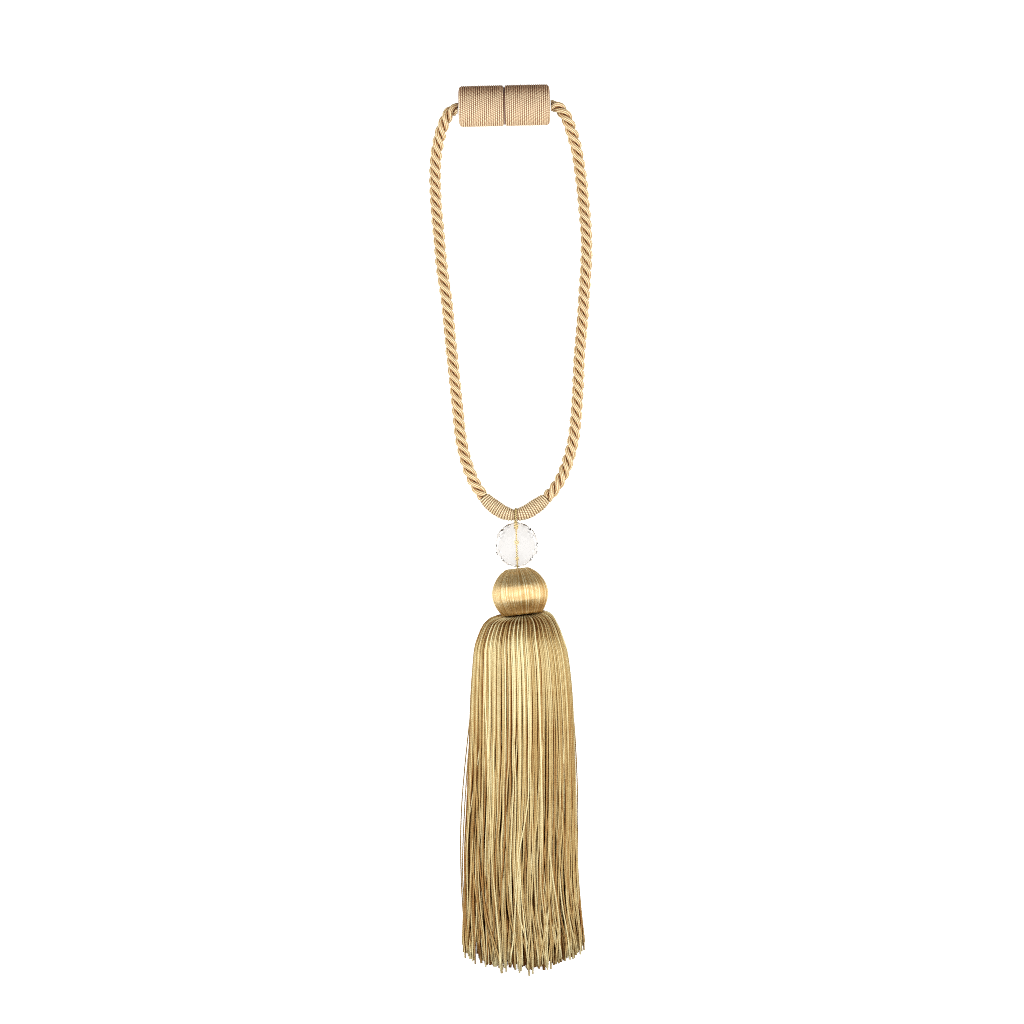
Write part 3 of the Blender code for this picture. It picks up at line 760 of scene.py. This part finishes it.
def floor():
    half = FLOOR_HALF * MM
    points = [(x * half, y * half, 0.0) for x, y in ((-1, -1), (1, -1), (1, 1), (-1, 1))]
    mesh = bpy.data.meshes.new("floor")
    mesh.from_pydata(points, [], [(0, 1, 2, 3)])
    mesh.materials.append(floor_finish())
    made = new_object("floor", mesh)


# ---- loop, clasp, bead and ball


def rope(name, start, end, finish):
    """Three strands laid left-handed, each fluted by yarns that twist the other way."""
    count = round((end - start) / STRAND_SPACING) + 1
    distances = np.linspace(start, end, count)
    middle = places_at(smooth_curve(LOOP_ROUTE), distances)
    side, up = cross_axes(middle)
    travelled = distances - start
    lay_turn = TURN * travelled[:, None] / ROPE_LAY
    yarn_turn = TURN * travelled[:, None] / STRAND_TWIST
    turns = even_turns(STRAND_SIDES)
    flute = 0.5 + 0.5 * np.cos(STRAND_YARNS * (turns + yarn_turn))
    radius = STRAND_RADIUS - STRAND_YARN_DEPTH * (1.0 - flute)
    groove, crest = STRAND_CROWN
    shape = Shape()
    for strand in range(3):
        turn = lay_turn + strand * TURN / 3
        centres = round_places(middle, side, up, ROPE_RADIUS - STRAND_RADIUS, turn)[:, 0]
        rings = round_places(centres, side, up, radius, turns + turn)
        from_middle = np.linalg.norm(rings - middle[:, None, :], axis=-1) / ROPE_RADIUS
        # painted shade, darker in the grooves between the strands and between their yarns
        crown = smooth_step(*STRAND_LIT, from_middle) * (groove + crest * flute)
        shape.tubes(on_surface(rings)[None], travelled[None], crown=crown, tone=0.0)
    made = shape.piece(name + "_strands", finish, [name])


def wound_tube(places, side, up, radii, ribs_at, sizes, sides):
    """Rings of a surface wound with yarn, and its crown values. ribs_at counts ribs along it, and
    sizes is (rib depth, plies round, ply slant, ply height)."""
    rib_depth, plies, slant, ply_height = sizes
    turns = even_turns(sides)
    rib = np.abs(np.sin(math.pi * ribs_at))[:, None]
    ply = 0.5 + 0.5 * np.cos(plies * turns + TURN * slant * ribs_at[:, None])
    radius = radii[:, None] - rib_depth * (1.0 - rib) - ply_height * (1.0 - ply)
    groove, on_rib, on_ply = WOUND_CROWN
    # the grooves' dark is painted shade; the powers below 1 keep the grooves narrow
    crown = groove + on_rib * rib**0.8 + on_ply * ply * rib**0.5
    return round_places(places, side, up, radius, turns), crown


def rounded_end(from_end, corner):
    """How far a rounded barrel end is drawn in, at distances from the end."""
    reach, depth = corner
    share = np.clip(from_end / reach, 0.0, 1.0)
    return depth * (1.0 - np.sqrt(1.0 - (1.0 - share) ** 2))


def clasp_half(name, outwards, finish):
    """One barrel wound with yarn. outwards is -1 for the left half and 1 for the right."""
    tilt = math.radians(CLASP_TILT)
    axis = outwards * np.array((math.cos(tilt), math.sin(tilt), 0.0))
    start = CLASP_MIDDLE + axis * CLASP_SEAM / 2
    stations = CLASP_RIBS * CLASP_RIB_STEPS + 1
    share = np.linspace(0.0, 1.0, stations)
    along = share * CLASP_HALF_LENGTH
    places = start + axis * along[:, None]
    side = np.broadcast_to(np.cross(axis, UP), places.shape)
    up = np.broadcast_to(UP, places.shape)
    radii = np.full(stations, CLASP_RADIUS)
    radii -= rounded_end(along, CLASP_SEAM_CORNER)
    radii -= rounded_end(CLASP_HALF_LENGTH - along, CLASP_CORNER)
    sizes = (CLASP_RIB_DEPTH, CLASP_PLIES, CLASP_PLY_SLANT * outwards, CLASP_PLY_HEIGHT)
    rings, crown = wound_tube(places, side, up, radii, share * CLASP_RIBS, sizes, CLASP_SIDES)

    # the magnet stands out of the seam's end; it and the seam's edges are painted dark, as the seam's
    # shade
    magnet_along = np.array((-CLASP_MAGNET_REACH, 0.0))
    magnet_places = start + axis * magnet_along[:, None]
    turns = even_turns(CLASP_SIDES)
    magnet = round_places(magnet_places, side[:2], up[:2], CLASP_MAGNET_RADIUS, turns)
    rings = np.concatenate((magnet, rings))
    crown = np.concatenate((np.zeros((2, CLASP_SIDES)), crown))
    crown[:CLASP_SEAM_ROWS] = CLASP_SEAM_CROWN
    # painted shade on the side away from the tassel
    shade = -CLASP_SHADE * smooth_step(*CLASP_SHADED, np.cos(turns) * side[0, 1])
    along = np.concatenate((magnet_along, along))
    shape = Shape()
    shape.tubes(on_surface(rings)[None], along[None], crown=crown, tone=shade)
    shape.piece(name + "_winding", finish, [name])


def binding(finish):
    """Thread ribs along the V, gathered at its point."""
    stations = BINDING_RIBS * BINDING_RIB_STEPS + 1
    share = np.linspace(0.0, 1.0, stations)
    places = places_at(smooth_curve(LOOP_ROUTE), BINDING_START + share * BINDING_LENGTH)
    side, up = cross_axes(places)
    radii = smooth_table(BINDING_RADII, share)[:, 0]
    near = np.abs(places[:, 0] - LOOP_CENTRE[0]) / NOTCH_HALF_WIDTH
    radii = np.where(near < 1.0, NOTCH_RADIUS, radii)
    sizes = (BINDING_RIB_DEPTH, BINDING_PLIES, BINDING_PLY_SLANT, BINDING_PLY_HEIGHT)
    rings, crown = wound_tube(places, side, up, radii, share * BINDING_RIBS, sizes, BINDING_SIDES)
    # painted shade in the notch at the V's point
    in_notch, beside = NOTCH_LIGHT
    crown = crown * (in_notch + beside * smooth_step(*NOTCH_LIT, near))[:, None]
    shape = Shape()
    shape.tubes(rings[None], (share * BINDING_LENGTH)[None], crown=crown, tone=0.0)
    shape.piece("binding_winding", finish, ["binding"])


def twisted_rings(places, side, up, along, radius):
    """A cord of two plies: rings of an eight-like section, turned steadily."""
    turns = even_turns(CORD_SIDES)
    twist = TURN * along[:, None] / CORD_PLY_TWIST
    lobe = np.abs(np.cos(turns - twist))
    waist, ply = CORD_SECTION
    groove, crest = CORD_CROWN
    rings = round_places(places, side, up, radius * (waist + ply * lobe), turns)
    # crown values: painted shade in the groove between the plies
    return rings, groove + crest * lobe**2


def hanger_cord(finish):
    """The loop round the binding and the stem through the bead."""
    shape = Shape()
    angles = even_turns(LOOP_STEPS)
    arm = np.stack((np.zeros(LOOP_STEPS), np.cos(angles), np.sin(angles)), axis=-1)
    places = LOOP_CENTRE + arm * LOOP_RADIUS
    side = np.broadcast_to(np.array((1.0, 0.0, 0.0)), places.shape)
    twists = round(TURN * LOOP_RADIUS / CORD_PLY_TWIST)
    along = np.arange(LOOP_STEPS) / LOOP_STEPS * twists * CORD_PLY_TWIST
    rings, crown = twisted_rings(places, side, arm, along, CORD_RADIUS)
    shape.tubes(rings[None], along[None], closed=True, crown=crown, tone=0.0)

    curve = smooth_curve(STEM_ROUTE)
    along = np.linspace(0.0, curve[1][-1], STEM_STATIONS)
    places = places_at(curve, along)
    side, up = cross_axes(places)
    at_top = 1.0 - smooth_step(*CORD_TOP_ENDS, along)
    radius = CORD_RADIUS + (CORD_TOP_RADIUS - CORD_RADIUS) * at_top
    rings, crown = twisted_rings(places, side, up, along, radius[:, None])
    shape.tubes(rings[None], along[None], crown=crown, tone=0.0)
    shape.piece("hanger_plies", finish, ["hanger_cord"])


def bead(frame, finish):
    """The model's own bead keeps its facets, and takes the glass."""
    for material_slot in frame["nodes"]["bead"].material_slots:
        material_slot.material = finish


def ball(chance, finish):
    """Satin threads wound from end to end over the turned ball."""
    axis = unit(BALL_BOTTOM - BALL_TOP)
    profile, travelled = smooth_curve([(below, radius, 0.0) for below, radius in BALL_PROFILE])
    along = np.linspace(0.0, travelled[-1], BALL_ROWS)
    below = np.interp(along, travelled, profile[:, 0])
    radii = np.interp(along, travelled, profile[:, 1])
    places = BALL_TOP + axis * below[:, None]
    side = np.broadcast_to(unit(np.cross(axis, UP)), places.shape)
    up = np.cross(side, axis)

    sides = BALL_THREADS * BALL_THREAD_STEPS
    turns = even_turns(sides)
    lobe = np.abs(np.cos(BALL_THREADS / 2 * turns))
    thread = (np.arange(sides) + BALL_THREAD_STEPS // 2) // BALL_THREAD_STEPS % BALL_THREADS
    sunk = chance.uniform(0.0, BALL_THREAD_SUNK, BALL_THREADS)[thread]
    tone = chance.uniform(-BALL_THREAD_TONE, BALL_THREAD_TONE, BALL_THREADS)[thread]
    finer = np.clip(radii / BALL_FULL_THREADS, BALL_LEAST_DEPTH, 1.0)[:, None]
    radius = radii[:, None] - BALL_THREAD_DEPTH * finer * (1.0 - lobe) - sunk
    rings = round_places(places, side, up, radius, turns)
    groove, crest = BALL_CROWN
    # painted shade between the threads, and in the holes at the ends
    crown = (groove + crest * lobe) * smooth_step(*BALL_HOLE_LIT, radii)[:, None]
    # painted reflection of the skirt makes the low part deeper in tone
    tone = tone - BALL_PAINTED_REFLECTION * smooth_step(*BALL_PAINTED_REFLECTION_BELOW, below)[:, None]
    shape = Shape()
    shape.tubes(on_surface(rings)[None], along[None], crown=crown, tone=tone)
    shape.piece("ball_winding", finish, ["ball"])


# ---- skirt


def section_outline(row, inset):
    """The skirt's section as (x, z) points, from the middle of its level underside, right first."""
    left, right, top, lift, flat = row
    middle = lift + WIDEST_AT * (top - lift)
    bottom, top = lift + inset, top - inset
    turn = np.linspace(0.0, math.pi / 2, OUTLINE_STEPS, endpoint=False)
    back = math.pi / 2 - turn
    low_right = flat * right + (right - inset - flat * right) * np.cos(back)
    low_left = flat * left + (left - inset - flat * left) * np.cos(turn)
    across = ([0.0], low_right, (right - inset) * np.cos(turn), -(left - inset) * np.cos(back),
              -low_left, [-flat * left, 0.0])
    height = ([bottom], middle + (bottom - middle) * np.sin(back),
              middle + (top - middle) * np.sin(turn), middle + (top - middle) * np.sin(back),
              middle + (bottom - middle) * np.sin(turn), [bottom, bottom])
    return np.stack((np.concatenate(across), np.concatenate(height)), axis=-1)


def round_sections(drops, inset, shares):
    """Places and outward directions at shares of the way round the sections at some drops. shares
    is (yarns, drops), and so are the results, with three numbers each."""
    rows = smooth_table(SKIRT_SECTIONS, drops)
    places = np.zeros((*shares.shape, 3))
    outward = np.zeros_like(places)
    for at, (drop, row) in enumerate(zip(drops, rows)):
        outline = section_outline(row, inset)
        lengths = np.linalg.norm(np.diff(outline, axis=0), axis=1)
        travelled = np.concatenate(([0.0], np.cumsum(lengths)))
        want = (shares[:, at] % 1.0) * travelled[-1]
        across = np.interp(want, travelled, outline[:, 0])
        height = np.interp(want, travelled, outline[:, 1])
        tangent = np.gradient(outline, travelled, axis=0)
        normal_x = np.interp(want, travelled, tangent[:, 1])
        normal_z = -np.interp(want, travelled, tangent[:, 0])
        top, lift = row[2], row[3]
        middle = lift + WIDEST_AT * (top - lift)
        lean = NECK_LEAN * np.maximum(0.0, (height - middle) / (top - middle)) - NECK_TILT * across
        lean *= max(0.0, 1.0 - drop / NECK_FADE_DROP)
        places[:, at] = np.stack((SKIRT_MIDDLE_X + across, NECK_Y - drop - lean, height), axis=-1)
        outward[:, at] = np.stack((normal_x, np.zeros_like(normal_x), normal_z), axis=-1)
    return places, unit(outward)


def seat_places(neck):
    """Where the yarns at these places of the neck go in under the ball."""
    axis = unit(BALL_BOTTOM - BALL_TOP)
    centre = BALL_TOP + axis * SEAT_DROP
    arm = neck - centre
    arm[:, 1] = 0.0
    return centre + (arm - (arm @ axis)[:, None] * axis) * SEAT_SHARE


def skirt_drops(stations):
    """Stations down the skirt, close over its shoulder."""
    share = np.linspace(0.0, 1.0, stations - 1)
    return TIP_DROP * (EVEN_SPACING * share + (1.0 - EVEN_SPACING) * share**SPACING_POWER)


def between(rise, fall, value):
    """1 from where the first pair's step is complete to where the second's starts."""
    return smooth_step(*rise, value) * (1.0 - smooth_step(*fall, value))


def part_at_slits(places, strength):
    """Pushes the upper yarns aside from each slit, each to the side that it is on halfway down."""
    upper = smooth_step(*SLIT_HEIGHTS, places[..., 2])
    drops = NECK_Y - places[..., 1]
    for x, first, last, half_width in SKIRT_SLITS:
        ease = (last - first) * SLIT_EASE
        window = between((first, first + ease), (last - ease, last), drops)
        halfway = np.abs(drops - (first + last) / 2).argmin(axis=1)
        off = (places[np.arange(len(places)), halfway, 0] - x)[:, None]
        push = strength * half_width * np.sign(off) * np.exp(-np.abs(off) / SLIT_REACH)
        places[..., 0] += push * window * upper


class Layer:
    """One layer of the skirt's yarns: the lock that each hangs in, and how it lies and looks.
    Numbers for its yarns are columns, and numbers for its drops are rows."""

    def __init__(self, row, chance):
        self.name, self.inset, self.count, self.radius, stations, self.sides = row[:6]
        self.looseness, self.tone = row[6:]
        self.chance = chance
        self.drops = skirt_drops(stations)
        self.loose = smooth_step(*COMES_LOOSE, self.drops)
        self.lower = smooth_step(*LOWER_PART, self.drops)
        number = np.arange(self.count)[:, None]
        self.on_top = number % 3 == 1
        self.shares = (number + 0.5 + self.each(*YARN_UNEVEN)) / self.count
        self.lock = np.floor(self.shares * LOCKS).astype(int)
        self.lock_middle = (self.lock + 0.5 + self.each_lock(*LOCK_UNEVEN)) / LOCKS
        self.off_lock = np.clip((self.shares - self.lock_middle) * LOCKS * 2, -1.0, 1.0)

    def each(self, low, high):
        """A random number for each yarn."""
        return self.chance.uniform(low, high, (self.count, 1))

    def each_lock(self, low, high):
        """A random number for each lock, handed to its yarns."""
        return self.chance.uniform(low, high, LOCKS)[self.lock]

    def ways_down(self):
        """Each yarn's share of the way round at each drop, and which yarns stray. A yarn is drawn
        into its lock, leaves it at its own drop and goes on straight."""
        drops = self.drops
        pull = LOCK_PULL * self.each_lock(*PULL_UNEVEN)
        toward = (self.lock_middle - self.shares) * pull * self.loose * (1.0 - LOCK_LETS_GO * self.lower)
        leaves_at = self.each(*LEAVES_LOCK)
        strays = self.each(0.0, 1.0) > KEEPS_TO_LOCK
        slope = self.chance.normal(0.0, 1.0, (self.count, 1))
        slope = slope * np.where(strays, STRAY_SLOPE, YARN_SLOPE) * self.looseness
        lock_slope = self.chance.normal(0.0, LOCK_SLOPE, LOCKS)[self.lock]
        sideways = slope * np.maximum(0.0, drops - leaves_at)
        sideways = sideways + lock_slope * np.maximum(0.0, drops - LEAVES_LOCK[0])
        sideways = sideways + YARN_WANDER * self.loose * wander(self.chance, self.count, drops)
        sideways = sideways + LOCK_OPENING * self.off_lock * smooth_step(*LOCKS_OPEN, drops) ** 2
        flick = self.chance.normal(0.0, TIP_FLICK, (self.count, 1)) * smooth_step(*TIPS_FLICK, drops) ** 2
        return self.shares + toward + (sideways + flick) / SKIRT_PERIMETER, strays

    def depths(self, strays):
        """How far each yarn lies inside the layer's outline at each drop. At the neck there is
        room for only every third of them on top."""
        deeper = np.where(self.on_top, 0.0, NECK_DEPTH) + self.each(*NECK_UNEVEN)
        sunk = deeper * (1.0 - smooth_step(*NECK_OPENS, self.drops))
        hollow = LOCK_HOLLOW * self.off_lock**2
        sunk = sunk + hollow * self.loose * (1.0 - HOLLOW_LOST * self.lower)
        uneven = SUNK_WANDER + SUNK_WANDER * wander(self.chance, self.count, self.drops)
        sunk = sunk + uneven * (SUNK_LOOSE * self.loose + SUNK_LOWER * self.lower)
        return sunk - STRAYS_RAISED * strays * self.lower

    def hang_hem(self, places, outward):
        """Ends the yarns in an uneven arc, with those at its ends splayed out."""
        end = places[:, -1:, 0]
        splay = smooth_step(*HEM_CORNERS, np.abs(end)) * np.sign(end) * self.each(*SPLAY_UNEVEN)
        places[..., 0] += splay * smooth_step(*SPLAYS_OUT, self.drops) * SPLAY
        rise = HEM_RISE * (places[:, -1:, 0] / HEM_HALF_WIDTH) ** 2
        short = SHORTER_BELOW * np.clip(-outward[:, -1:, 2], 0.0, 1.0)
        short = short + (0.0 if self.inset < 1.0 else SHORTER_INSIDE)
        tip = TIP_DROP - rise - short + self.each(-HEM_UNEVEN, HEM_UNEVEN)
        tip = tip + self.each_lock(-LOCK_HEM_UNEVEN, LOCK_HEM_UNEVEN)
        places[..., 1] -= (tip - TIP_DROP) * smooth_step(LOWER_PART[0], TIP_DROP, self.drops)

    def crowns(self, from_middle, outward, radius, packed):
        """Crown values, in painted shade: the flanks are dark, less so where the yarns are packed. There,
        dark lines of painted shade show only between the locks."""
        facing = (from_middle * outward).sum(axis=-1) / radius
        dark, packed_lighter = FLANK_CROWN
        flank = dark + packed_lighter * packed
        crown = flank + (TOP_CROWN - flank) * smooth_step(*FACING_LIT, facing)
        across = np.stack((-outward[..., 2], outward[..., 1], outward[..., 0]), axis=-1)
        lateral = (from_middle * across).sum(axis=-1)
        in_lock = ((self.shares * LOCKS) % 1.0 * 2.0 - 1.0)[..., None]
        from_lock = np.abs(in_lock + lateral * 2.0 * LOCKS / SKIRT_PERIMETER)
        line = smooth_step(*LOCK_EDGE, from_lock) * self.each_lock(*LINE_UNEVEN)[..., None]
        return crown * (1.0 - LINE_DARK * line * packed)

    def tones(self, reach):
        """Tone values of each yarn at each drop."""
        # each yarn's own tone, with painted shade on a lock's side yarns and, by the layer's tone, on the
        # inner layers
        tone = self.each(*YARN_TONES) - LOCK_SIDE_TONE * np.abs(self.off_lock) ** 3 + self.tone
        tone = tone + WANDER_TONE * wander(self.chance, self.count, reach)
        # painted light on the yarns on top at the neck, painted shade on those beneath
        neck = np.where(self.on_top, *NECK_TONES)
        tone = tone + neck * (1.0 - smooth_step(*NECK_TONES_FADE, reach))
        # painted light over the upper part, lost lower down
        tone = tone + UPPER_TONE - UPPER_TONE_LOST * smooth_step(*UPPER_TONE_FADES, reach)
        tone = tone - BALL_SHADE * between(BALL_SHADE_STARTS, BALL_SHADE_ENDS, reach)
        # the inner layers' tips get painted shade, in the hem's inside
        outer_tip, inner_tip = TIP_TONES
        return tone + (outer_tip if self.inset < 1.0 else inner_tip) * smooth_step(*AT_TIPS, reach)


def skirt_layer(row, chance, finish):
    """One layer of yarns, from under the ball to their tips."""
    layer = Layer(row, chance)
    moved, strays = layer.ways_down()
    places, outward = round_sections(layer.drops, layer.inset, moved)
    places = places - outward * layer.depths(strays)[..., None]
    further_in = layer.inset - SKIRT_LAYERS[0][1]
    part_at_slits(places, max(0.0, 1.0 - SLIT_LOST_INSIDE * further_in))
    layer.hang_hem(places, outward)

    # each yarn starts under the ball
    places = np.concatenate((seat_places(places[:, 0])[:, None], places), axis=1)
    outward = np.concatenate((outward[:, :1], outward), axis=1)
    reach = np.concatenate(([0.0], layer.drops))
    steps = np.linalg.norm(np.diff(places, axis=1), axis=-1)
    along = np.concatenate(([0.0], np.cumsum(steps, axis=1).mean(axis=0))) + layer.each(*TWIST_STARTS)
    side, up = cross_axes(places)
    packed = between(PACKED_FROM, PACKED_TO, reach)
    slim = np.where(layer.on_top, *NECK_SLIMMER) * (1.0 - smooth_step(*NECK_SLIM_ENDS, reach))
    radius = layer.radius * (1.0 - slim + PACKED_THICKER * packed) * layer.each(*RADIUS_UNEVEN)
    places = on_surface(places, radius)
    rings = round_places(places, side, up, radius[..., None], even_turns(layer.sides))

    from_middle = rings - places[:, :, None]
    crown = layer.crowns(from_middle, outward[:, :, None], radius[..., None], packed[:, None])
    shape = Shape()
    shape.tubes(rings, along, crown=crown, tone=layer.tones(reach)[..., None])
    shape.piece(layer.name, finish, ["skirt"])


def skirt_head(finish):
    """The wound core under the yarns, from the neck to below the shoulder."""
    drops = np.concatenate([np.linspace(*stretch) for stretch in HEAD_CORE_DROPS])
    shares = np.arange(HEAD_CORE_SIDES) / HEAD_CORE_SIDES
    shares = np.broadcast_to(shares[:, None], (HEAD_CORE_SIDES, len(drops)))
    places, _ = round_sections(drops, HEAD_CORE_INSET, shares)
    rings = np.ascontiguousarray(places.transpose(1, 0, 2)[None, :, ::-1])
    shape = Shape()
    # painted shade: the core under the yarns is dark
    shape.tubes(rings, drops[None], crown=HEAD_CORE_CROWN, tone=0.0)
    shape.piece("skirt_head", finish, ["skirt"])


def loose_threads(finish):
    """Threads that have strayed from the skirt and lie beside it."""
    shape = Shape()
    for route in LOOSE_THREADS:
        curve = smooth_curve(route)
        along = np.linspace(0.0, curve[1][-1], LOOSE_STATIONS)
        places = places_at(curve, along)
        side, up = cross_axes(places)
        rings = round_places(places, side, up, LOOSE_RADIUS, even_turns(LOOSE_SIDES))
        shape.tubes(on_surface(rings)[None], along[None], crown=LOOSE_CROWN, tone=0.0)
    shape.piece("skirt_loose_threads", finish, ["skirt"])


# ---- the scene


def corners(box):
    return [list(corner) for corner in box]


def main():
    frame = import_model()
    # the denoiser and a wide pixel filter would lose the yarns' twist
    scene = bpy.context.scene
    scene.view_settings.view_transform = "Standard"
    scene.cycles.filter_width = 1.0
    scene.cycles.use_denoising = False
    chance = np.random.default_rng(SEED)
    camera()
    rope_yarn = rope_finish()
    loop_length = smooth_curve(LOOP_ROUTE)[1][-1]
    rope("rope_left", 0.0, BINDING_START - GAP, rope_yarn)
    rope("rope_right", BINDING_START + BINDING_LENGTH + GAP, loop_length, rope_yarn)
    clasp_yarn = clasp_finish()
    clasp_half("clasp_left", -1.0, clasp_yarn)
    clasp_half("clasp_right", 1.0, clasp_yarn)
    binding(binding_finish())
    hanger_cord(hanger_finish())
    bead(frame, bead_finish())
    ball(chance, ball_finish())
    skirt_yarn = skirt_finish()
    for row in SKIRT_LAYERS:
        skirt_layer(row, chance, skirt_yarn)
    skirt_head(skirt_yarn)
    loose_threads(skirt_yarn)
    lights()
    studio()
    floor()


main()
